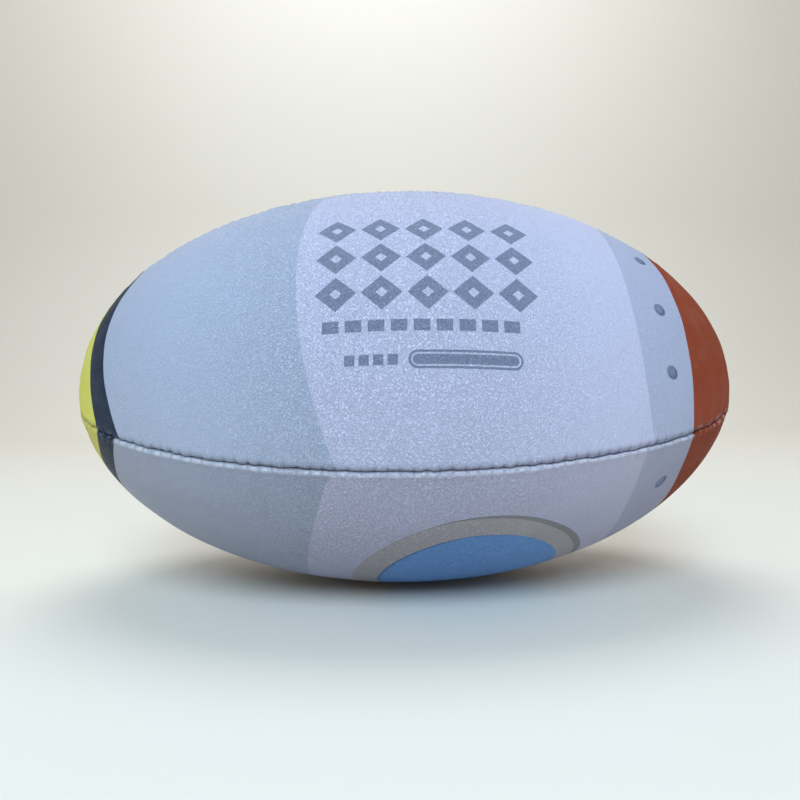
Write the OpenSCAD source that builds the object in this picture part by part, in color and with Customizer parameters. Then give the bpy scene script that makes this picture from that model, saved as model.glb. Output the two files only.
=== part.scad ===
// Rugby ball, size 5: a hand-stitched cover of four laminated panels over an inflated bladder.
//
// Frame: millimetres, +Z up, origin at the middle of the ball, long axis along X, nose at +X.
// The ball lies on its belly. Each panel is a quarter of the cover between two seams that run
// from tail to nose. Angles around the long axis are measured from +Y towards +Z.

/* [Ball] */
// Length from tail to nose
ball_length = 300; // [280:1:310]
// Greatest diameter, across the belly
ball_diameter = 180.4; // [170:0.2:196]
// Angle of the back seam, measured around the long axis from +Y towards +Z
seam_roll = 19.9; // [0:0.1:45]

/* [Cover] */
// Thickness of the pebbled rubber grip layer
skin_t = 1.3; // [1.2:0.1:1.6]
// Thickness of the laminated cloth lining behind it
lining_t = 1.1; // [0.8:0.1:1.3]
// How far the turned-in panel edges reach below the surface
edge_depth = 6; // [5.5:0.1:8]
// Space between the faces of two panels at a seam
seam_gap = 0.3; // [0.1:0.05:0.6]

/* [Stitching] */
// Diameter of the waxed thread
thread_d = 0.8; // [0.6:0.1:0.9]
// Width of the thread where it lies flat along a turned-in edge
thread_w = 1.1; // [1.1:0.1:1.4]
// Distance from one stitch to the next
stitch_pitch = 4.5; // [4:0.1:7]
// Depth of the stitch line below the surface
stitch_depth = 4.4; // [4:0.1:4.8]
// Half-width of the ball where a row of stitches starts and stops
stitch_end = 16; // [14:1:30]

/* [Bladder] */
// Wall thickness of the bladder
bladder_t = 0.7; // [0.6:0.1:1.2]
// Thickness of the balance patch opposite the valve
patch_t = 1.4; // [1:0.1:2]
// Radius of the balance patch
patch_r = 11; // [8:0.5:12]

/* [Valve] */
// Distance of the valve from the back seam, along the surface
valve_from_seam = 18; // [17:0.5:30]
// Radius of the holes through skin, lining and reinforcement
valve_hole_r = 3.2; // [3.1:0.1:4]
// Radius of the valve's neck
neck_r = 2.9; // [2.6:0.1:3]
// Radius of the way through the neck
neck_bore_r = 1.7; // [1.5:0.1:1.9]
// How far the neck's face lies below the surface
neck_sink = 0.5; // [0.2:0.1:1]
// Radius of the reinforcement ring and of the valve's flange
flange_r = 11; // [9:0.5:12]
// Thickness of the valve's flange
flange_t = 1.2; // [1:0.1:2]
// Radius of the valve's inner stem
stem_r = 5.5; // [5:0.1:6.5]
// Length of the stem below the flange
stem_length = 13.5; // [13:0.5:18]
// Radius of the self-sealing insert
insert_r = 3.5; // [3:0.1:4]
// Length of the insert
insert_length = 10.5; // [10:0.5:11]
// Radius of the insert's needle guide
needle_r = 1.25; // [1:0.05:1.4]
// Length of the needle guide
needle_length = 8; // [6:0.5:8]
// Thickness of the reinforcement ring
ring_t = 0.6; // [0.4:0.1:1]

/* [Hidden] */
$fn = 180;
small_fn = 32;

// Bond line between two layers
bond = 0.05;
half_length = ball_length / 2;
half_width = ball_diameter / 2;
// Larger than any part of the ball
reach = ball_length;

// Depths of the layers below the surface, and their distances from a seam's middle plane
lining_depth = skin_t + bond;
bladder_depth = lining_depth + lining_t + bond;
edge_gap = seam_gap / 2;
lining_edge = edge_gap + skin_t + bond;
thread_edge = lining_edge + lining_t;
groove_edge = thread_edge + thread_d + bond;
groove_depth = edge_depth + bond;
needle_hole_r = thread_d / 2 + bond;

// Quarters of the cover, counted around the long axis from the back seam
UPPER_BACK = 0;
UPPER_FRONT = 1;
LOWER_FRONT = 2;
LOWER_BACK = 3;
quarter = 90;

// Stitches sit an equal distance apart along an ellipse inside the turned-in edges
stitch_a = half_length - stitch_depth;
stitch_b = half_width - stitch_depth;
first_stitch = asin(stitch_end / half_width);
function stitch_speed(t) = sqrt(pow(stitch_a * sin(t), 2) + pow(stitch_b * cos(t), 2)) * PI / 180;
function stitch_angles(t) =
    t > 180 - first_stitch ? [] : concat([t], stitch_angles(t + stitch_pitch / stitch_speed(t)));
stitches = stitch_angles(first_stitch);
run_half_length = stitch_a * cos(first_stitch) + thread_w;

// Valve, in its own frame: Z is outward, and heights are distances from the ball's long axis
valve_angle = valve_from_seam / half_width * 180 / PI;
ring_depth = bladder_depth + ring_t + bond;
flange_depth = ring_depth + bladder_t + bond;
neck_top = half_width - neck_sink;
stem_top = half_width - flange_depth;
stem_bottom = stem_top - flange_t - stem_length;
insert_clear = 0.05;
insert_sink = 1.5;
// Hole in the flange, inside the neck's wall
flange_hole_r = (neck_bore_r + neck_r) / 2;
insert_top = stem_top - insert_sink;
insert_bottom = insert_top - insert_length;
stem_round = 2;
slit_w = 0.3;
slit_l = 2.6;
chamfer = 0.6;

// Ellipsoid a given depth below the ball's surface, turned about the long axis
module layer_form(depth) {
    rotate([0, 90, 0])
        rotate_extrude()
            intersection() {
                scale([half_width - depth, half_length - depth])
                    circle(r = 1);
                translate([0, -reach])
                    square([reach, 2 * reach]);
            }
}

// Quarter space between two seam planes, set back from both
module quarter_space(set_back) {
    translate([-reach / 2, set_back, set_back])
        cube([reach, reach, reach]);
}

// Turns its children to one quarter of the cover, or to the seam where that quarter starts
module at_quarter(index) {
    rotate([seam_roll + quarter * index, 0, 0])
        children();
}

// Turns its children to the valve, with Z outward
module at_valve() {
    rotate([seam_roll + valve_angle - quarter, 0, 0])
        children();
}

// One layer of a panel, with its edges turned in along both seams
module turned_layer(depth, set_back, thickness) {
    difference() {
        intersection() {
            layer_form(depth);
            quarter_space(set_back);
        }
        intersection() {
            layer_form(depth + thickness);
            quarter_space(set_back + thickness);
        }
        layer_form(edge_depth);
    }
}

// Row of holes or threads across one seam
module stitch_row(radius, half_span) {
    for (t = stitches)
        translate([stitch_a * cos(t), stitch_b * sin(t), -half_span])
            cylinder(h = 2 * half_span, r = radius, $fn = small_fn);
}

// Needle holes through both turned edges of a panel
module needle_holes() {
    stitch_row(needle_hole_r, groove_edge);
    rotate([quarter, 0, 0])
        stitch_row(needle_hole_r, groove_edge);
}

// Straight hole for the valve's neck, from the surface inward
module valve_hole() {
    at_valve()
        cylinder(h = reach / 2, r = valve_hole_r, $fn = small_fn);
}

module panel(index) {
    at_quarter(index)
        difference() {
            turned_layer(0, edge_gap, skin_t);
            needle_holes();
        }
}

module lining(index) {
    at_quarter(index)
        difference() {
            turned_layer(lining_depth, lining_edge, lining_t);
            needle_holes();
        }
}

// One run of thread along the inside of a turned edge
module thread_run() {
    translate([0, 0, thread_edge])
        linear_extrude(thread_d)
            intersection() {
                difference() {
                    scale([stitch_a + thread_w / 2, stitch_b + thread_w / 2])
                        circle(r = 1);
                    scale([stitch_a - thread_w / 2, stitch_b - thread_w / 2])
                        circle(r = 1);
                }
                translate([-run_half_length, 0])
                    square([2 * run_half_length, reach]);
            }
}

// Saddle stitch: a run on each side of the turned edges, joined through every needle hole
module seam_thread(index) {
    at_quarter(index) {
        thread_run();
        mirror([0, 0, 1])
            thread_run();
        stitch_row(thread_d / 2, thread_edge + thread_d / 2);
    }
}

// Space inside the cover: four lobes against the linings, and a core under the turned edges
module cover_space(inset) {
    layer_form(groove_depth + inset);
    for (index = [0:3])
        rotate([quarter * index, 0, 0])
            intersection() {
                layer_form(bladder_depth + inset);
                quarter_space(groove_edge + inset);
            }
}

// Dent that the reinforcement ring presses into the bladder
module ring_dent(inset) {
    at_valve()
        cylinder(h = reach / 2, r = flange_r + bond + inset);
}

module dented_space(inset) {
    difference() {
        at_quarter(0)
            cover_space(inset);
        difference() {
            ring_dent(inset);
            layer_form(ring_depth + inset);
        }
    }
}

module bladder() {
    color([0.16, 0.15, 0.14])
        difference() {
            dented_space(0);
            dented_space(bladder_t);
            valve_hole();
        }
}

module balance_patch() {
    color([0.1, 0.1, 0.1])
        rotate([180, 0, 0])
            at_valve()
                intersection() {
                    difference() {
                        layer_form(bladder_depth + bladder_t + bond);
                        layer_form(bladder_depth + bladder_t + bond + patch_t);
                    }
                    cylinder(h = reach / 2, r = patch_r);
                }
}

module valve_reinforcement() {
    color("ivory")
        difference() {
            intersection() {
                difference() {
                    layer_form(bladder_depth);
                    layer_form(bladder_depth + ring_t);
                }
                at_valve()
                    cylinder(h = reach / 2, r = flange_r);
            }
            valve_hole();
        }
}

// Flange against the inside of the bladder, open where the neck passes
module valve_flange() {
    difference() {
        intersection() {
            difference() {
                layer_form(flange_depth);
                layer_form(flange_depth + flange_t);
            }
            at_valve()
                cylinder(h = reach / 2, r = flange_r);
        }
        at_valve()
            cylinder(h = reach / 2, r = flange_hole_r);
    }
}

// Neck and stem, with the seat of the insert, turned about the valve's axis
module valve_stem() {
    rotate_extrude()
        polygon([
            [neck_bore_r, neck_top],
            [neck_r, neck_top],
            [neck_r, stem_top - flange_t / 2],
            [stem_r, stem_top - flange_t / 2],
            [stem_r, stem_bottom + stem_round],
            [stem_r - stem_round, stem_bottom],
            [slit_l / 2, stem_bottom],
            [slit_l / 2, insert_bottom - insert_clear],
            [insert_r + insert_clear, insert_bottom - insert_clear],
            [insert_r + insert_clear, insert_top + insert_clear],
            [neck_bore_r, insert_top + insert_clear]
        ]);
}

module valve_body() {
    color([0.08, 0.08, 0.08])
        difference() {
            union() {
                valve_flange();
                at_valve()
                    valve_stem();
            }
            at_valve()
                translate([0, 0, insert_bottom])
                    cylinder(h = insert_length, r = insert_r + insert_clear);
        }
}

module valve_insert() {
    color([0.85, 0.82, 0.74])
        at_valve()
            difference() {
                rotate_extrude()
                    polygon([
                        [0, insert_bottom],
                        [insert_r - chamfer, insert_bottom],
                        [insert_r, insert_bottom + chamfer],
                        [insert_r, insert_top - chamfer],
                        [insert_r - chamfer, insert_top],
                        [0, insert_top]
                    ]);
                translate([0, 0, insert_top - needle_length])
                    cylinder(h = reach, r = needle_r);
                translate([-slit_l / 2, -slit_w / 2, insert_bottom - insert_length / 2])
                    cube([slit_l, slit_w, insert_length]);
            }
}

module upper_front_panel() {
    color([0.72, 0.75, 0.79])
        panel(UPPER_FRONT);
}

module upper_back_panel() {
    color([0.72, 0.75, 0.79])
        difference() {
            panel(UPPER_BACK);
            valve_hole();
        }
}

module lower_back_panel() {
    color([0.72, 0.75, 0.79])
        panel(LOWER_BACK);
}

module lower_front_panel() {
    color([0.72, 0.75, 0.79])
        panel(LOWER_FRONT);
}

module upper_front_lining() {
    color("linen")
        lining(UPPER_FRONT);
}

module upper_back_lining() {
    color("linen")
        difference() {
            lining(UPPER_BACK);
            valve_hole();
        }
}

module lower_back_lining() {
    color("linen")
        lining(LOWER_BACK);
}

module lower_front_lining() {
    color("linen")
        lining(LOWER_FRONT);
}

// A seam takes the number of the quarter that starts at it
module front_seam_thread() {
    color("gainsboro")
        seam_thread(LOWER_FRONT);
}

module top_seam_thread() {
    color("gainsboro")
        seam_thread(UPPER_FRONT);
}

module back_seam_thread() {
    color("gainsboro")
        seam_thread(UPPER_BACK);
}

module bottom_seam_thread() {
    color("gainsboro")
        seam_thread(LOWER_BACK);
}

upper_front_panel();
upper_back_panel();
lower_back_panel();
lower_front_panel();
upper_front_lining();
upper_back_lining();
lower_back_lining();
lower_front_lining();
front_seam_thread();
top_seam_thread();
back_seam_thread();
bottom_seam_thread();
bladder();
balance_patch();
valve_body();
valve_insert();
valve_reinforcement();
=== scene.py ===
import math

import bpy
import numpy as np
from mathutils import Matrix, Vector


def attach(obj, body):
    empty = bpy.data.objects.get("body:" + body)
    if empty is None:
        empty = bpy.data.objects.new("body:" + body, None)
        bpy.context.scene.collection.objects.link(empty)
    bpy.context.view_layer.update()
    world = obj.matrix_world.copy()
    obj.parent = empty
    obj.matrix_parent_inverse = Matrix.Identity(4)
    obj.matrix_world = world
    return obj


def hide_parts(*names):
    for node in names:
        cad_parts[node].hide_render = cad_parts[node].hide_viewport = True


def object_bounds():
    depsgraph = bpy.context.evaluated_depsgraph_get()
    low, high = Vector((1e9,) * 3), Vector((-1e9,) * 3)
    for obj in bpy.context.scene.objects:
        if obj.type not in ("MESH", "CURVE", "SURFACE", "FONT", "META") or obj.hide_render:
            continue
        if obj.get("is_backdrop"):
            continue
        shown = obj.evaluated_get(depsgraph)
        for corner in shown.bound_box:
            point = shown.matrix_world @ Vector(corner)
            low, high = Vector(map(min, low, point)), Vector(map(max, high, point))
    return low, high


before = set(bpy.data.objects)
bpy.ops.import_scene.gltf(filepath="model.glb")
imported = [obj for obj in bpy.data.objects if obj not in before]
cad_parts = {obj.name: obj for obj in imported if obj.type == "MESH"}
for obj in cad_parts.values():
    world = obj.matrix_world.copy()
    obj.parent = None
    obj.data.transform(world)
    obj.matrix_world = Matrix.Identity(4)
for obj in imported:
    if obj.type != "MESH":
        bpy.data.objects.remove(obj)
cad_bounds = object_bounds()

# ---- Sizes. Lengths are in metres; MM turns millimetres into them. ----
MM = 0.001
HALF_LENGTH = (cad_bounds[1].x - cad_bounds[0].x) / 2
HALF_WIDTH = (cad_bounds[1].z - cad_bounds[0].z) / 2

# The cover's quarters, counted round the long axis from the back seam, as in the CAD part
SEAM_ROLL = math.radians(19.9)
QUARTER = math.pi / 2
UPPER_BACK, UPPER_FRONT, LOWER_FRONT, LOWER_BACK = range(4)
DESIGN_A = (UPPER_FRONT, LOWER_BACK)

# Cut edge of a panel: rolled over, turned inward and sewn
SKIN = 1.3 * MM
TIGHT_ROLL = 1.6 * MM
BROAD_ROLL = 2.3 * MM
FLANGE = 6 * MM
EDGE_GAP = 0.08 * MM
NEAR_SEAM = 9 * MM
NOSE_FADE = 22 * MM
NOSE_ANGLE = 0.006

# Saddle stitch
PITCH = 4.5 * MM
STITCH_DEPTH = 4.4 * MM
STITCH_END = 16 * MM
THREAD = 0.4 * MM
THREAD_OUT = 3.05 * MM

# Relief of the cover
RIDGE = 1.2 * MM
RIDGE_WIDTH = 10 * MM
FLATTEN = 0.1 * MM
NOTCH = 0.45 * MM
LIP = 0.28 * MM
PUCKER = 0.20 * MM
WAVINESS = 0.20 * MM
UNEVEN = 0.10 * MM
YELLOW_NOSE_REACH = 0.3 * MM
RED_NOSE_REACH = 1.2 * MM
WAVES = 14

# Each seam's lips lean round the ball a little, and more so towards the red nose
LEAN = math.radians(0.3)
SWAY = math.radians(0.8)
SWAY_FROM, SWAY_TO = 30 * MM, 65 * MM
SWAY_REACH = 20 * MM
SWAY_DEPTH = 1.2 * MM

# Valve, on the upper back panel's side of the back seam
VALVE_FROM_SEAM = 18 * MM
VALVE_TURN = SEAM_ROLL + VALVE_FROM_SEAM / HALF_WIDTH
VALVE_HOLE = 3.2 * MM

ROWS = 620


# ---- Shape of the cover ----
def ripple(a, b, wavelength, seed):
    """Irregular smooth waves over the plane a, b, mostly between -1 and 1."""
    rng = np.random.default_rng(seed)
    total = 0
    for _ in range(WAVES):
        turn, phase = rng.uniform(0, 2 * math.pi, 2)
        pitch = 2 * math.pi / (wavelength * rng.uniform(0.7, 1.5))
        total = total + np.cos(pitch * (a * math.cos(turn) + b * math.sin(turn)) + phase)
    return total * math.sqrt(1.0 / WAVES)


def run_along(t, depth):
    """Distance along the outline, a depth below the surface, from the first nose to angle t."""
    fine = np.linspace(0, math.pi, 6000)
    steps = np.hypot(
        np.diff((HALF_LENGTH - depth) * np.cos(fine)), np.diff((HALF_WIDTH - depth) * np.sin(fine))
    )
    return np.interp(t, fine, np.concatenate([[0], np.cumsum(steps)]))


def even_angles(count, depth, first, last):
    """Angles whose places on the outline lie an equal distance apart."""
    fine = np.linspace(first, last, 6000)
    run = run_along(fine, depth)
    return np.interp(np.linspace(run[0], run[-1], count), run, fine)


FIRST_STITCH = math.asin(STITCH_END / HALF_WIDTH)
STITCH_RUN = run_along(np.array([FIRST_STITCH, math.pi - FIRST_STITCH]), STITCH_DEPTH)
STITCHES = int((STITCH_RUN[1] - STITCH_RUN[0]) / PITCH) + 1


def stitch_phase(t):
    """Turns once per stitch, and is a whole turn at each needle hole."""
    return 2 * math.pi * (run_along(t, STITCH_DEPTH) - STITCH_RUN[0]) / PITCH


def half_section(fine_band, roll):
    """Columns of one half of a panel's section, from its mid-line over the edge and back inside.

    Each is (near, far, depth): a distance from the seam of near plus far times what is left
    to the mid-line, and a depth below the surface.
    """
    columns = []
    steps = np.linspace(1, 0, 24, endpoint=False)
    if fine_band:
        middle = np.linspace(1, 0.32, 14, endpoint=False)
        steps = np.concatenate([middle, np.linspace(0.32, 0, 24, endpoint=False)])
    for far in steps:
        columns.append((NEAR_SEAM, far, 0))
    start = EDGE_GAP + roll
    for i in range(12):
        columns.append((start + (NEAR_SEAM - start) * (1 - i / 12) ** 1.4, 0, 0))
    for i in range(12):
        turn = i / 11 * math.pi / 2
        in_by, down_by = roll * (1 - math.sin(turn)), roll * (1 - math.cos(turn))
        columns.append((EDGE_GAP + in_by, 0, down_by))
    for i in range(1, 4):
        columns.append((EDGE_GAP, 0, roll + (FLANGE - roll) * i / 3))
    inner = max(roll - SKIN, 0.3 * MM)
    for i in range(3):
        columns.append((EDGE_GAP + SKIN, 0, FLANGE - (FLANGE - SKIN - inner) * i / 2))
    for i in range(1, 4):
        turn = math.pi / 2 * (1 - i / 3)
        in_by, down_by = inner * (1 - math.sin(turn)), inner * (1 - math.cos(turn))
        columns.append((EDGE_GAP + SKIN + in_by, 0, SKIN + down_by))
    for i in range(2):
        columns.append((start + (NEAR_SEAM - start) * (i + 1) / 3, 0, SKIN))
    for far in np.linspace(0, 1, 9):
        columns.append((NEAR_SEAM, far, SKIN))
    return np.array(columns)


def sway(x, s):
    """How far the cover's outside leans round the ball, s from a seam."""
    rise = np.clip((x - SWAY_FROM) / (SWAY_TO - SWAY_FROM), 0, 1)
    return (LEAN + SWAY * rise**2 * (3 - 2 * rise)) * np.exp(-s / SWAY_REACH)


def relief(t, s, quarter, seam):
    """How far the cover lies below a perfect ellipsoid, s from a seam."""
    run = run_along(t, 0)
    hold = (0.5 + 0.5 * np.cos(stitch_phase(t))) ** 2.2
    uneven_hold = 1 + 0.35 * ripple(run, 0, 14 * MM, 40 + seam)
    depth = FLATTEN - RIDGE * np.exp(-s / RIDGE_WIDTH)
    if quarter not in DESIGN_A:
        hold = 1.3 * hold
        depth = depth - LIP * np.exp(-(((s - 1.8 * MM) / (1.3 * MM)) ** 2))
    depth = depth + NOTCH * hold * uneven_hold * np.exp(-((s / (2.3 * MM)) ** 2))
    fold = ripple(run, 0.22 * s, 3.2 * MM, 10 * quarter + seam)
    depth = depth + PUCKER * fold * np.exp(-s / (3.6 * MM))
    long_fold = ripple(run, 0.15 * s, 11 * MM, 90 + 10 * quarter + seam)
    return depth + 0.6 * PUCKER * long_fold * np.exp(-s / (9 * MM))


def panel_mesh(quarter, fine_band=False):
    """Vertices and faces of one quarter: a closed skin with rolled and turned-in edges."""
    t = even_angles(ROWS, 0, NOSE_ANGLE, math.pi - NOSE_ANGLE)[:, None]
    x, r = HALF_LENGTH * np.cos(t), HALF_WIDTH * np.sin(t)
    tip = np.where(x > 0, RED_NOSE_REACH, -YELLOW_NOSE_REACH) * np.abs(x / HALF_LENGTH) ** 10
    nx, nr = x / HALF_LENGTH**2, r / HALF_WIDTH**2
    length = np.hypot(nx, nr)
    nx, nr = nx / length, nr / length
    shrink = 1 - np.exp(-r / NOSE_FADE)
    middle = SEAM_ROLL + QUARTER * (quarter + 0.5)
    run = run_along(t, 0)
    half = half_section(fine_band, TIGHT_ROLL if quarter in DESIGN_A else BROAD_ROLL)
    sides = ((1, half), (-1, half[1:-1][::-1]))
    corners = []
    for side, columns in sides:
        seam = (quarter + 1) % 4 if side > 0 else quarter
        near, far, depth = columns.T[:, None, :]
        radius = r - shrink * depth * nr
        s = shrink * near + np.maximum(radius * QUARTER / 2 - shrink * NEAR_SEAM, 0) * far
        h = shrink * (depth + relief(t, s, quarter, seam))
        around = (quarter * 1.7 + side * (QUARTER / 2 - s / np.maximum(radius, 1e-6))) * HALF_WIDTH
        h = h + shrink * UNEVEN * ripple(run, around, 30 * MM, 7 + quarter)
        radius = np.maximum(r - h * nr, 1e-5)
        wave = WAVINESS * ripple(run, 0, 5.2 * MM, 60 + seam) * np.exp(-s / (2 * MM))
        turn = middle + side * (QUARTER / 2 - s / radius) + shrink * wave / radius
        turn = turn - sway(x, s) * np.exp(-((depth / SWAY_DEPTH) ** 2))
        along = x + tip - h * nx
        corners.append(np.stack([along, radius * np.cos(turn), radius * np.sin(turn)], -1))
    grid = np.concatenate(corners, 1)
    rows, columns = grid.shape[:2]
    first = (np.arange(rows - 1) * columns)[:, None]
    here, after = np.arange(columns), (np.arange(columns) + 1) % columns
    faces = np.stack([first + here, first + after, first + columns + after, first + columns + here], -1)
    faces = faces.reshape(-1, 4).tolist()
    faces.append(list(range(columns))[::-1])
    faces.append([(rows - 1) * columns + i for i in range(columns)])
    return grid.reshape(-1, 3), faces


# ---- Pieces ----
def new_mesh(name, corners, faces):
    """A smooth-shaded object whose faces look outward."""
    mesh = bpy.data.meshes.new(name)
    mesh.from_pydata(np.asarray(corners).tolist(), [], faces)
    mesh.validate()
    mesh.calc_loop_triangles()
    a, b, c = (np.array([mesh.vertices[t.vertices[i]].co for t in mesh.loop_triangles]) for i in range(3))
    if np.einsum("ij,ij->", a, np.cross(b, c)) < 0:
        mesh.flip_normals()
    mesh.shade_smooth()
    made = bpy.data.objects.new(name, mesh)
    bpy.context.scene.collection.objects.link(made)
    return made


def lathe(outline, segments):
    """Corners and faces of a closed outline of (radius, height) points turned about Z."""
    turns = np.linspace(0, 2 * math.pi, segments, endpoint=False)
    outline = np.array(outline)
    corners = np.stack(
        [np.outer(np.cos(turns), outline[:, 0]), np.outer(np.sin(turns), outline[:, 0]),
         np.tile(outline[:, 1], (segments, 1))], -1
    ).reshape(-1, 3)
    count, faces = len(outline), []
    for i in range(segments):
        j = (i + 1) % segments
        for k in range(count):
            m = (k + 1) % count
            faces.append([i * count + k, j * count + k, j * count + m, i * count + m])
    return corners, faces


def arc(centre_r, centre_h, radius, start, end, count):
    """Points of an arc in a lathe outline, with angles in degrees."""
    return [
        (centre_r + radius * math.cos(math.radians(a)), centre_h + radius * math.sin(math.radians(a)))
        for a in np.linspace(start, end, count)
    ]


def at_valve(corners):
    """Moves points whose Z is a distance from the long axis out to the valve's axis."""
    out = Vector((0, math.cos(VALVE_TURN), math.sin(VALVE_TURN)))
    turn = out.to_track_quat("Z", "X").to_matrix()
    return np.asarray(corners) @ np.array(turn).T


def tube(path, radius, plies, lay):
    """Corners and faces of a plied thread along a path, closed at both ends."""
    path = np.asarray(path)
    sides = 12
    tangents = np.gradient(path, axis=0)
    tangents /= np.linalg.norm(tangents, axis=1)[:, None]
    run = np.concatenate([[0], np.cumsum(np.linalg.norm(np.diff(path, axis=0), axis=1))])
    up = np.array([1.0, 0, 0]) if abs(tangents[0][0]) < 0.9 else np.array([0, 1.0, 0])
    rings = []
    angles = np.linspace(0, 2 * math.pi, sides, endpoint=False)
    for place, tangent, way in zip(path, tangents, run):
        up = up - tangent * up.dot(tangent)
        up = up / np.linalg.norm(up)
        across = np.cross(tangent, up)
        swell = radius * (1 + 0.14 * np.cos(plies * (angles - 2 * math.pi * way / lay)))
        ring = np.outer(swell * np.cos(angles), up) + np.outer(swell * np.sin(angles), across)
        rings.append(place + ring)
    faces = [
        [i * sides + k, i * sides + (k + 1) % sides, (i + 1) * sides + (k + 1) % sides, (i + 1) * sides + k]
        for i in range(len(path) - 1) for k in range(sides)
    ]
    faces.append(list(range(sides))[::-1])
    faces.append([(len(path) - 1) * sides + k for k in range(sides)])
    return np.concatenate(rings), faces


def stitch_path(seam, side):
    """Way of one needle's thread: through a hole, along one side of the turned edges, and back."""
    turn = SEAM_ROLL + QUARTER * seam
    out = np.array([0, math.cos(turn), math.sin(turn)])
    across = np.array([0, -math.sin(turn), math.cos(turn)])
    fine = np.linspace(0, math.pi, 6000)
    run = run_along(fine, STITCH_DEPTH) - STITCH_RUN[0]
    points = []
    for step in np.arange(0, STITCHES - 1, 1 / 12):
        whole = int(step)
        part = step - whole
        lean = side * (1 if whole % 2 else -1)
        cross = lean * math.sin(math.pi * part) ** 0.35 if part else 0
        t = np.interp(step * PITCH, run, fine)
        sag = 0.25 * MM * math.sin(math.pi * part)
        along = (HALF_LENGTH - STITCH_DEPTH - sag) * math.cos(t)
        lift = (HALF_WIDTH - STITCH_DEPTH - sag - side * 0.32 * MM * (1 - abs(cross))) * math.sin(t)
        points.append(np.array([along, 0, 0]) + out * lift + across * cross * THREAD_OUT)
    return points


def joined(*shapes):
    """Several (corners, faces) shapes as one."""
    corners, faces, count = [], [], 0
    for some, more in shapes:
        corners.append(some)
        faces += [[count + i for i in face] for face in more]
        count += len(some)
    return np.concatenate(corners), faces


def carve(target, corners, faces):
    """Cuts a closed shape out of a piece."""
    tool = new_mesh("cutter", corners, faces)
    cut = target.modifiers.new("cut", "BOOLEAN")
    cut.operation, cut.solver, cut.object = "DIFFERENCE", "EXACT", tool
    ready = target.evaluated_get(bpy.context.evaluated_depsgraph_get())
    target.data = bpy.data.meshes.new_from_object(ready)
    target.modifiers.clear()
    bpy.data.objects.remove(tool)


def note_places(piece, quarter):
    """Stores where each vertex lies on its panel, in millimetres, for the print to follow."""
    mesh = piece.data
    spots = np.empty(len(mesh.vertices) * 3)
    mesh.vertices.foreach_get("co", spots)
    x, y, z = spots.reshape(-1, 3).T
    middle = SEAM_ROLL + QUARTER * (quarter + 0.5)
    turn = np.mod(np.arctan2(z, y) - middle + math.pi, 2 * math.pi) - math.pi
    r = HALF_WIDTH * np.sqrt(np.maximum(1 - (x / HALF_LENGTH) ** 2, 0))
    upright = turn
    for _ in range(3):
        upright = turn + sway(x, np.maximum(QUARTER / 2 - np.abs(upright), 0) * r)
    lean = 1 if quarter in DESIGN_A else -1
    places = {
        "along": x / MM,
        "across": -turn * r / MM,
        "share": lean * upright / (QUARTER / 2),
        "edge": (QUARTER / 2 - np.abs(upright)) * np.hypot(y, z) / MM,
        "stitch": 0.5 + 0.5 * np.cos(stitch_phase(np.arccos(np.clip(x / HALF_LENGTH, -1, 1)))),
    }
    for name, values in places.items():
        mesh.attributes.new(name, "FLOAT", "POINT").data.foreach_set("value", values)


# ---- Materials ----
class Field:
    """A number that changes over a surface, worked out by nodes."""

    def __init__(self, tree, socket):
        self.tree, self.socket = tree, socket

    def math(self, operation, *others):
        node = self.tree.nodes.new("ShaderNodeMath")
        node.operation = operation
        for socket, value in zip(node.inputs, (self,) + others):
            if isinstance(value, Field):
                self.tree.links.new(value.socket, socket)
            else:
                socket.default_value = value
        return Field(self.tree, node.outputs[0])

    def __add__(self, other):
        return self.math("ADD", other)

    def __sub__(self, other):
        return self.math("SUBTRACT", other)

    def __mul__(self, other):
        return self.math("MULTIPLY", other)

    def __abs__(self):
        return self.math("ABSOLUTE")

    def spread(self, low, high, to_low=0.0, to_high=1.0):
        """Eases from to_low at low to to_high at high."""
        node = self.tree.nodes.new("ShaderNodeMapRange")
        node.interpolation_type = "SMOOTHSTEP"
        self.tree.links.new(self.socket, node.inputs["Value"])
        for name, value in zip(("From Min", "From Max", "To Min", "To Max"), (low, high, to_low, to_high)):
            node.inputs[name].default_value = value
        return Field(self.tree, node.outputs["Result"])

    def above(self, edge, soft=0.15):
        return (self - edge).spread(-soft, soft)

    def below(self, edge, soft=0.15):
        return (self - edge).spread(-soft, soft, 1.0, 0.0)

    def either(self, other):
        return self.math("MAXIMUM", other)


def srgb(red, green, blue):
    """A linear colour from its 8-bit screen values."""
    levels = [v / 255 for v in (red, green, blue)]
    return (*[v / 12.92 if v <= 0.04045 else ((v + 0.055) / 1.055) ** 2.4 for v in levels], 1)


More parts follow.
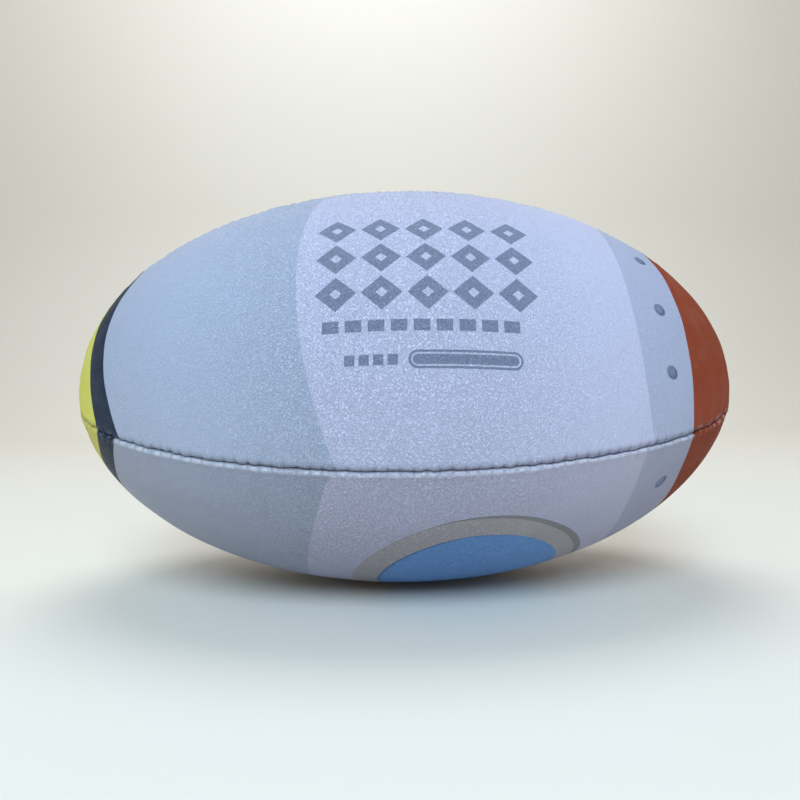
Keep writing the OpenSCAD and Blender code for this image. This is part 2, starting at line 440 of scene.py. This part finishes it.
class Finish:
    """A material, its Principled shader, and short ways to add to its nodes."""

    def __init__(self, name, roughness, specular=0.5, sheen=0.0):
        self.material = bpy.data.materials.new(name)
        self.material.use_nodes = True
        self.tree = self.material.node_tree
        self.shader = self.tree.nodes["Principled BSDF"]
        self.shader.inputs["Roughness"].default_value = roughness
        self.shader.inputs["Specular IOR Level"].default_value = specular
        self.shader.inputs["Sheen Weight"].default_value = sheen
        self.spot = self.tree.nodes.new("ShaderNodeTexCoord").outputs["Object"]

    def place(self, name):
        node = self.tree.nodes.new("ShaderNodeAttribute")
        node.attribute_name = name
        return Field(self.tree, node.outputs["Fac"])

    def noise(self, size, detail=2.0, rough=0.5, warp=0.0):
        """Cloudy noise with features about size metres across."""
        node = self.tree.nodes.new("ShaderNodeTexNoise")
        self.tree.links.new(self.spot, node.inputs["Vector"])
        values = {"Scale": 1 / size, "Detail": detail, "Roughness": rough, "Distortion": warp}
        for name, value in values.items():
            node.inputs[name].default_value = value
        return Field(self.tree, node.outputs["Fac"])

    def cells(self, size):
        """Rounded bumps about size metres across."""
        node = self.tree.nodes.new("ShaderNodeTexVoronoi")
        node.feature = "SMOOTH_F1"
        self.tree.links.new(self.spot, node.inputs["Vector"])
        node.inputs["Scale"].default_value = 1 / size
        return Field(self.tree, node.outputs["Distance"])

    def bands(self, size, axis):
        """Soft stripes size metres apart."""
        node = self.tree.nodes.new("ShaderNodeTexWave")
        node.bands_direction = axis
        self.tree.links.new(self.spot, node.inputs["Vector"])
        node.inputs["Scale"].default_value = 0.314 / size
        node.inputs["Distortion"].default_value = 0.4
        return Field(self.tree, node.outputs["Fac"])

    def mix(self, share, first, second):
        node = self.tree.nodes.new("ShaderNodeMix")
        node.data_type = "RGBA"
        self.tree.links.new(share.socket, node.inputs["Factor"])
        for socket, value in ((node.inputs[6], first), (node.inputs[7], second)):
            if isinstance(value, tuple):
                socket.default_value = value
            else:
                self.tree.links.new(value, socket)
        return node.outputs[2]

    def colour(self, value):
        self.tree.links.new(value, self.shader.inputs["Base Color"])

    def roughness(self, field):
        self.tree.links.new(field.socket, self.shader.inputs["Roughness"])

    def bump(self, height, distance, strength=1.0):
        node = self.tree.nodes.new("ShaderNodeBump")
        node.inputs["Distance"].default_value = distance
        node.inputs["Strength"].default_value = strength
        self.tree.links.new(height.socket, node.inputs["Height"])
        self.tree.links.new(node.outputs["Normal"], self.shader.inputs["Normal"])
        return self.material


# Print colours
YELLOW = srgb(222, 218, 100)
NAVY = srgb(25, 43, 65)
MID_GREY = srgb(171, 181, 204)
BAND_GREY = srgb(174, 180, 206)
LIGHT_GREY = srgb(194, 197, 224)
RUST = srgb(147, 64, 35)
# painted highlight tone for the red nose's rolled edges, not a print colour
RUST_HIGHLIGHT = srgb(200, 124, 84)
SLATE = srgb(119, 130, 156)
SLATE_DARK = srgb(96, 107, 135)
PORT_BLUE = srgb(102, 146, 203)
PORT_LINE = srgb(84, 118, 165)
RING_GREY = srgb(165, 158, 162)
RIM_GREY = srgb(132, 130, 131)

# Red, green and blue factors on each design's ground colours. Design B's are darker, taken as its own
# print, and warmer, which is painted warm light bounced up from below.
TONE_A = (1, 1, 1)
TONE_B_WARM_BOUNCE = (0.81, 0.77, 0.75)

# Tones, in order: the grain's cloudiness, painted shade in the grain's furrows, a painted highlight on the
# rolled edges, a painted highlight on the rolled lip, painted shade on the shoulder beside the seam, and
# painted shade at the stitches and in the seam's groove
CLOUD = srgb(225, 228, 236)
FURROW_SHADE_TONE = srgb(80, 88, 108)
EDGE_HIGHLIGHT = srgb(214, 222, 240)
LIP_HIGHLIGHT_TONE = srgb(228, 230, 240)
SHOULDER_SHADE_TONE = srgb(52, 60, 78)
SEAM_SHADE_TONE = srgb(40, 44, 56)

# Feature sizes of the grain and the wear
GRAIN = 0.8 * MM
PEBBLE = 0.9 * MM
FINE_GRAIN = 0.35 * MM
SWELL = 5 * MM
CLOUD_SIZE = 9 * MM
RUB_SIZE = 2.4 * MM
PATCH_SIZE = 3.5 * MM

# Where the print changes colour, in millimetres along the ball: at a panel's mid-line, how much
# further at the front or back seam than at the top or bottom one, and how far both seams bow out
ZONES_A = (
    (-133.2, 0.5, 4.3), (-124.3, -0.3, 9.2), (-43.2, 2.7, 11.5), (82.9, 3.8, 4.8), (108.0, 4.0, 0.0)
)
ZONES_B = (
    (-133.5, 0.5, 4.3), (-125.1, -2.1, 8.9), (-44.0, 0.6, 12.4), (82.8, 2.6, 3.4), (107.9, 3.2, 1.1)
)
DOTS_A = ((96.0, 27.8), (96.7, -0.4), (99.2, -25.6))
DOTS_B = ((100.2, 33.6),)
DOT_R = 2.65
PORT = (22.8, 0.6)
PORT_R = 38.2
RING_R = 48.6
EMBLEM = (4.0, 10.1)
EMBLEM_CELL = (16.4, 15.7)
DASH_ROW, DASH_PITCH = (1.5, -18.4), 8.0
SMALL_ROW, SMALL_PITCH = (-16.4, -30.7), 5.0
PILL, PILL_REACH = (16.8, -30.7), 17.0


def from_spot(x, y, spot):
    """Distance from a spot on the panel."""
    dx, dy = x - spot[0], y - spot[1]
    return (dx * dx + dy * dy).math("SQRT")


def beyond(x, share, zone, further=0.0, soft=0.15):
    """Where the panel lies past the line at which a zone of the print starts."""
    middle, skew, bow = zone
    return x.above(share * skew + share * share * bow + (middle + further), soft)


def zone_colours(skin, x, share, zones, tones):
    """The print's bands of colour, from nose to nose."""
    colour = tones[0]
    for zone, tone in zip(zones, tones[1:]):
        colour = skin.mix(beyond(x, share, zone), colour, tone)
    return colour


def dots(skin, colour, x, y, spots):
    """Printed round heads with a shaded rim."""
    for spot in spots:
        colour = skin.mix(from_spot(x, y, spot).below(DOT_R, 0.35), colour, SLATE_DARK)
        lit = (spot[0] - 0.5, spot[1] + 0.5)
        colour = skin.mix(from_spot(x, y, lit).below(0.7 * DOT_R, 0.6), colour, SLATE)
    return colour


def porthole(skin, colour, x, y):
    """Printed round window with a ring and a shaded rim."""
    colour = skin.mix(from_spot(x, y, PORT).below(RING_R), colour, RIM_GREY)
    face = (PORT[0] - 2.2, PORT[1] - 0.2)
    inside = from_spot(x, y, face).below(RING_R - 0.8) * from_spot(x, y, PORT).below(RING_R)
    colour = skin.mix(inside, colour, RING_GREY)
    colour = skin.mix(from_spot(x, y, PORT).below(PORT_R), colour, PORT_LINE)
    glass = (PORT[0] + 0.8, PORT[1] + 0.1)
    lit = from_spot(x, y, glass).below(PORT_R - 0.6) * from_spot(x, y, PORT).below(PORT_R)
    return skin.mix(lit, colour, PORT_BLUE)


def repeat(value, middle, pitch):
    """Distance to the nearest of a row of places a pitch apart."""
    return (value - middle).math("PINGPONG", pitch / 2)


def emblem(skin, colour, x, y):
    """A plain field of lozenges over two rows of dashes and a round-ended bar, with no lettering."""
    u, v = x - EMBLEM[0], y - EMBLEM[1]
    lozenge = repeat(x, EMBLEM[0], EMBLEM_CELL[0]) * (1 / EMBLEM_CELL[0])
    lozenge = lozenge + repeat(y, EMBLEM[1], EMBLEM_CELL[1]) * (1 / EMBLEM_CELL[1])
    field = abs(u).below(2.5 * EMBLEM_CELL[0]) * abs(v).below(1.5 * EMBLEM_CELL[1])
    field = field * lozenge.below(0.45, 0.008) * lozenge.above(0.13, 0.008)
    dash = repeat(x, DASH_ROW[0], DASH_PITCH).below(2.9) * abs(x - DASH_ROW[0]).below(4.5 * DASH_PITCH)
    dash = dash * abs(y - DASH_ROW[1]).below(2.2)
    small = repeat(x, SMALL_ROW[0] - SMALL_PITCH / 2, SMALL_PITCH).below(1.8)
    small = small * abs(x - SMALL_ROW[0]).below(9.6) * abs(y - SMALL_ROW[1]).below(1.9)
    reach = (abs(x - PILL[0]) - PILL_REACH).math("MAXIMUM", 0.0)
    bar = (reach * reach + (y - PILL[1]) * (y - PILL[1])).math("SQRT")
    pill = bar.below(3.3) * (abs(bar - 2.1).below(0.3) * -1.0 + 1.0)
    printed = field.either(dash).either(small).either(pill)
    return skin.mix(printed * 0.94, colour, SLATE)


def print_colour(skin, x, y, share, zones, spots, tone, motif):
    """The whole print of one panel, with its colours toned by a factor each for red, green and blue."""
    tones = (YELLOW, NAVY, MID_GREY, LIGHT_GREY, BAND_GREY, RUST)
    tones = [tuple(c * k for c, k in zip(t, tone)) + (1,) for t in tones]
    colour = zone_colours(skin, x, share, zones, tones)
    colour = dots(skin, colour, x, y, spots)
    return motif(skin, colour, x, y)


def mottle_and_furrow_shade(skin, colour, furrow, fade):
    """Faint cloudiness, and painted shade in the furrows between the pebbles."""
    mottle = skin.noise(CLOUD_SIZE, 4.0)
    colour = skin.mix(mottle.spread(0.35, 0.75, 0.0, 0.025), colour, CLOUD)
    # painted shade in the grain's furrows, fainter towards the noses
    return skin.mix(furrow.spread(0.0, 0.07, 0.26, 0.0) * fade, colour, FURROW_SHADE_TONE)


def edge_highlights(skin, colour, edge, rub, rust_side):
    """Painted highlights in patches on the rolled sewn edges, orange and strongest on the red nose."""
    edge_glint = edge.spread(0.4, 3.2, 1.0, 0.0) * rub.spread(0.42, 0.62)
    colour = skin.mix(edge_glint * rust_side * 0.75, colour, RUST_HIGHLIGHT)
    return skin.mix(edge_glint * 0.16, colour, EDGE_HIGHLIGHT)


def seam_light_and_shade(skin, colour, edge, grey, lip_highlight, shoulder_shade):
    """Painted highlight on the rolled lip in the grey zones, painted shade on the shoulder beside the seam,
    and painted shade in the folds at the stitches and down the seam's groove.
    """
    stitch = skin.place("stitch")
    patchy = skin.noise(PATCH_SIZE, 2.0).spread(0.35, 0.6, 0.45, 1.0)
    rolled = edge.spread(0.3, 0.9) * edge.spread(1.2, 2.7, 1.0, 0.0) * stitch.spread(0.5, 1.0, 1.0, 0.65)
    # painted highlight where the rolled lip faces the light
    colour = skin.mix(rolled * patchy * grey * lip_highlight, colour, LIP_HIGHLIGHT_TONE)
    # painted shade where the panel's shoulder turns down into the seam
    colour = skin.mix(edge.spread(0.2, 3.4, shoulder_shade, 0.0), colour, SHOULDER_SHADE_TONE)
    # painted shade in the folds pulled in at each stitch
    stitch_fold_shade = stitch.spread(0.72, 1.0) * edge.spread(0.5, 2.6, 1.0, 0.0)
    colour = skin.mix(stitch_fold_shade * patchy * 0.24, colour, SEAM_SHADE_TONE)
    # faint painted shade down in the seam's groove
    return skin.mix(edge.spread(0.1, 0.6, 0.05, 0.0), colour, SEAM_SHADE_TONE)


def grain_height(skin, furrow, fade):
    """Relief of the skin: pebbles and furrows that fade towards the noses, over soft swells."""
    height = furrow.spread(0.0, 0.10) * 0.7 + skin.cells(PEBBLE) * 0.35 + skin.noise(FINE_GRAIN, 2.0) * 0.12
    return height * (fade * 1.15) + skin.noise(SWELL, 2.0) * 0.5


def cover_material(name, zones, spots, tone, motif, lip_highlight, shoulder_shade):
    """Printed synthetic leather: pebble grain, creases, and painted highlights and shade along the sewn
    edges.
    """
    skin = Finish(name, 0.5, specular=0.13)
    x, y = skin.place("along"), skin.place("across")
    share, edge = skin.place("share"), skin.place("edge")
    furrow = abs(skin.noise(GRAIN, 1.0, 0.4, 0.8) - 0.5)
    fade = abs(x + 5.0).spread(15.0, 90.0, 1.0, 0.4)
    rub = skin.noise(RUB_SIZE, 3.0)
    rust_side = beyond(x, share, zones[-1], 0.8, 0.5)
    grey = beyond(x, share, zones[1], 1.0, 3.0) * (rust_side * -1.0 + 1.0)
    colour = print_colour(skin, x, y, share, zones, spots, tone, motif)
    colour = mottle_and_furrow_shade(skin, colour, furrow, fade)
    # painted highlights on the rolled edges
    colour = edge_highlights(skin, colour, edge, rub, rust_side)
    skin.colour(seam_light_and_shade(skin, colour, edge, grey, lip_highlight, shoulder_shade))
    matt = rub.spread(0.3, 0.7, -0.03, 0.05) + x.spread(80.0, 112.0, 0.0, 0.3)
    skin.roughness(matt + furrow.spread(0.0, 0.08, 0.58, 0.44))
    return skin.bump(grain_height(skin, furrow, fade), 0.22 * MM, 1.0)


def cloth_material(name, dark, light, thread):
    """Plain woven cotton and polyester backing."""
    cloth = Finish(name, 0.9, specular=0.2, sheen=0.15)
    weave = cloth.bands(thread, "X").math("MAXIMUM", cloth.bands(thread, "DIAGONAL"))
    cloth.colour(cloth.mix(weave * cloth.noise(6 * MM, 3.0).spread(0.2, 0.8, 0.6, 1.0), dark, light))
    cloth.roughness(cloth.noise(2 * MM).spread(0.3, 0.7, 0.82, 0.96))
    return cloth.bump(weave + cloth.noise(0.4 * MM) * 0.3, 0.15 * MM, 0.6)


def rubber_material(name, dark, light, roughness):
    """Moulded rubber with a little bloom on it."""
    rubber = Finish(name, roughness, specular=0.4)
    bloom = rubber.noise(4 * MM, 4.0, 0.6)
    rubber.colour(rubber.mix(bloom.spread(0.35, 0.75), dark, light))
    rubber.roughness(bloom.spread(0.3, 0.7, roughness - 0.06, roughness + 0.1))
    return rubber.bump(rubber.noise(0.5 * MM, 3.0), 0.05 * MM, 0.5)


def thread_material():
    """Waxed polyester thread, pale, with darker lines between its fibres."""
    thread = Finish("waxed_thread", 0.55, specular=0.45, sheen=0.2)
    fibres = thread.noise(0.25 * MM, 3.0, 0.6, 0.8)
    thread.colour(thread.mix(fibres.spread(0.3, 0.7), srgb(150, 148, 138), srgb(214, 212, 202)))
    thread.roughness(fibres.spread(0.3, 0.7, 0.45, 0.7))
    return thread.bump(fibres, 0.05 * MM, 0.6)


def stage_material():
    stage = Finish("pale_stage", 0.85, specular=0.1)
    shade = stage.noise(0.5, 2.0)
    stage.colour(stage.mix(shade, srgb(230, 226, 217), srgb(235, 231, 222)))
    stage.roughness(shade.spread(0.3, 0.7, 0.8, 0.9))
    return stage.bump(stage.noise(0.01), 0.1 * MM, 0.1)


# ---- The ball ----
def dress(piece, material, replaces=None):
    piece.data.materials.clear()
    piece.data.materials.append(material)
    if replaces:
        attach(piece, "root")
        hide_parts(replaces)


def build_covers():
    side_a = cover_material("cover_print_a", ZONES_A, DOTS_A, TONE_A, emblem, lip_highlight=0.0, shoulder_shade=0.36)
    side_b = cover_material("cover_print_b", ZONES_B, DOTS_B, TONE_B_WARM_BOUNCE, porthole, lip_highlight=0.5, shoulder_shade=0.0)
    names = {
        UPPER_BACK: ("upper_back", side_b), UPPER_FRONT: ("upper_front", side_a),
        LOWER_FRONT: ("lower_front", side_b), LOWER_BACK: ("lower_back", side_a),
    }
    for quarter, (name, material) in names.items():
        cover = new_mesh(name + "_cover", *panel_mesh(quarter, quarter == UPPER_BACK))
        if quarter == UPPER_BACK:
            cut_valve_hole(cover)
        note_places(cover, quarter)
        dress(cover, material, name + "_panel")


def cut_valve_hole(cover):
    """A round hole with a softened lip."""
    top = HALF_WIDTH + 2 * MM
    lip = 0.7 * MM
    outline = [(0.02 * MM, HALF_WIDTH - 4 * MM), (VALVE_HOLE, HALF_WIDTH - 4 * MM)]
    outline += arc(VALVE_HOLE + lip, HALF_WIDTH - lip - 0.05 * MM, lip, 180, 95, 7)
    outline += [(VALVE_HOLE + lip, top), (0.02 * MM, top)]
    corners, faces = lathe(outline, 64)
    carve(cover, at_valve(corners), faces)


def build_valve():
    """Rubber valve: neck with a rolled rim and a funnel, flange and stem, from the CAD's own sizes."""
    neck, bore, stem, flange = 2.9 * MM, 1.7 * MM, 5.5 * MM, 11 * MM
    neck_top, stem_top = HALF_WIDTH - 0.5 * MM, HALF_WIDTH - 3.9 * MM
    seat, length, rim = 3.55 * MM, 14.7 * MM, 0.35 * MM
    seat_top, seat_bottom = stem_top - 1.45 * MM, stem_top - 12.05 * MM
    outlet = 1.3 * MM
    outline = [(bore, seat_top), (bore, neck_top - 1.1 * MM)]
    outline += arc(bore + rim + 0.3 * MM, neck_top - rim, rim, 160, 90, 5)
    outline += arc(neck - rim, neck_top - rim, rim, 90, 0, 5)
    outline += [(neck, stem_top + 0.3 * MM), (neck + 0.4 * MM, stem_top)]
    outline += arc(flange - 0.5 * MM, stem_top - 1.15 * MM, 0.5 * MM, 90, -90, 6)
    outline += [(stem + 0.5 * MM, stem_top - 1.7 * MM)]
    outline += arc(stem - 2 * MM, stem_top - length + 2 * MM, 2 * MM, 0, -90, 7)
    outline += [(outlet, stem_top - length), (outlet, seat_bottom)]
    outline += [(seat, seat_bottom), (seat, seat_top)]
    corners, faces = lathe(outline, 72)
    valve = new_mesh("valve_neck_and_stem", at_valve(corners), faces)
    rubber = rubber_material("valve_rubber", srgb(28, 28, 30), srgb(50, 50, 52), 0.5)
    dress(valve, rubber, "valve_body")


def build_threads():
    waxed = thread_material()
    for seam, name in enumerate(("back_seam", "top_seam", "front_seam", "bottom_seam")):
        strands = [tube(stitch_path(seam, side), THREAD * 0.72, 2, 3.2 * MM) for side in (1, -1)]
        dress(new_mesh(name + "_stitches", *joined(*strands)), waxed, name + "_thread")


def finish_inner_layers():
    lining = cloth_material("lining_cloth", srgb(196, 190, 172), srgb(228, 224, 210), 0.5 * MM)
    tape = cloth_material("reinforcement_cloth", srgb(212, 206, 188), srgb(236, 232, 220), 0.35 * MM)
    bladder = rubber_material("bladder_rubber", srgb(30, 30, 31), srgb(58, 57, 56), 0.62)
    patch = rubber_material("patch_rubber", srgb(24, 24, 25), srgb(44, 44, 45), 0.55)
    insert = rubber_material("insert_rubber", srgb(204, 196, 174), srgb(224, 218, 200), 0.5)
    finishes = {
        "upper_front_lining": lining, "upper_back_lining": lining, "lower_back_lining": lining,
        "lower_front_lining": lining, "bladder": bladder, "balance_patch": patch,
        "valve_insert": insert, "valve_reinforcement": tape,
    }
    for node, material in finishes.items():
        dress(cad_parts[node], material)


# ---- Stage, light and camera ----
CAMERA_PLACE = (-14.3 * MM, -308.3 * MM, -5.3 * MM)
CAMERA_YAW = math.radians(-2.03)
CAMERA_ROLL = math.radians(-0.65)
LENS = 28.63


def build_stage(height):
    """A pale floor that curves up into a backdrop."""
    front, bend, radius, top, side = -2.5, 1.1, 0.7, 3.0, 4.0
    line = [(front, 0), (bend - 1, 0), (bend, 0)]
    for a in np.linspace(0, math.pi / 2, 24)[1:]:
        line.append((bend + radius * math.sin(a), radius * (1 - math.cos(a))))
    line += [(bend + radius, top)]
    corners = [(x, y, z + height) for x in (-side, side) for y, z in line]
    count = len(line)
    faces = [[i, i + count, i + count + 1, i + 1] for i in range(count - 1)]
    mesh = bpy.data.meshes.new("stage")
    mesh.from_pydata(corners, [], faces)
    mesh.shade_smooth()
    stage = bpy.data.objects.new("stage", mesh)
    bpy.context.scene.collection.objects.link(stage)
    stage.data.materials.append(stage_material())
    stage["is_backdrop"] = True


def area_light(name, place, aim, size, power, colour):
    light = bpy.data.lights.new(name, "AREA")
    light.shape, light.size, light.energy, light.color = "DISK", size, power, colour
    lamp = bpy.data.objects.new(name, light)
    lamp.location = place
    lamp.rotation_euler = (Vector(aim) - Vector(place)).to_track_quat("-Z", "Y").to_euler()
    bpy.context.scene.collection.objects.link(lamp)


def build_lights():
    area_light("sky_panel", (-0.10, -1.01, 0.82), (0, 0, 0), 0.8, 14.6, (0.60, 0.81, 1.0))
    area_light("backdrop_wash", (0, 0.6, 2.2), (0, 1.8, 0.5), 1.6, 30.0, (0.90, 0.95, 1.0))
    world = bpy.data.worlds.new("room")
    bpy.context.scene.world = world
    world.use_nodes = True
    world.node_tree.nodes["Background"].inputs["Color"].default_value = (1.0, 0.94, 0.85, 1)
    world.node_tree.nodes["Background"].inputs["Strength"].default_value = 0.36


def build_camera():
    lens = bpy.data.cameras.new("camera")
    lens.sensor_width, lens.lens = 36, LENS
    lens.clip_start = 0.01
    camera = bpy.data.objects.new("camera", lens)
    level = Matrix.Rotation(CAMERA_YAW, 4, "Z") @ Matrix.Rotation(QUARTER, 4, "X")
    turn = level @ Matrix.Rotation(CAMERA_ROLL, 4, "Z")
    camera.matrix_world = Matrix.Translation(CAMERA_PLACE) @ turn
    bpy.context.scene.collection.objects.link(camera)
    bpy.context.scene.camera = camera


build_covers()
build_valve()
build_threads()
finish_inner_layers()
build_stage(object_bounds()[0].z)
build_lights()
build_camera()
bpy.context.scene.view_settings.view_transform = "Standard"
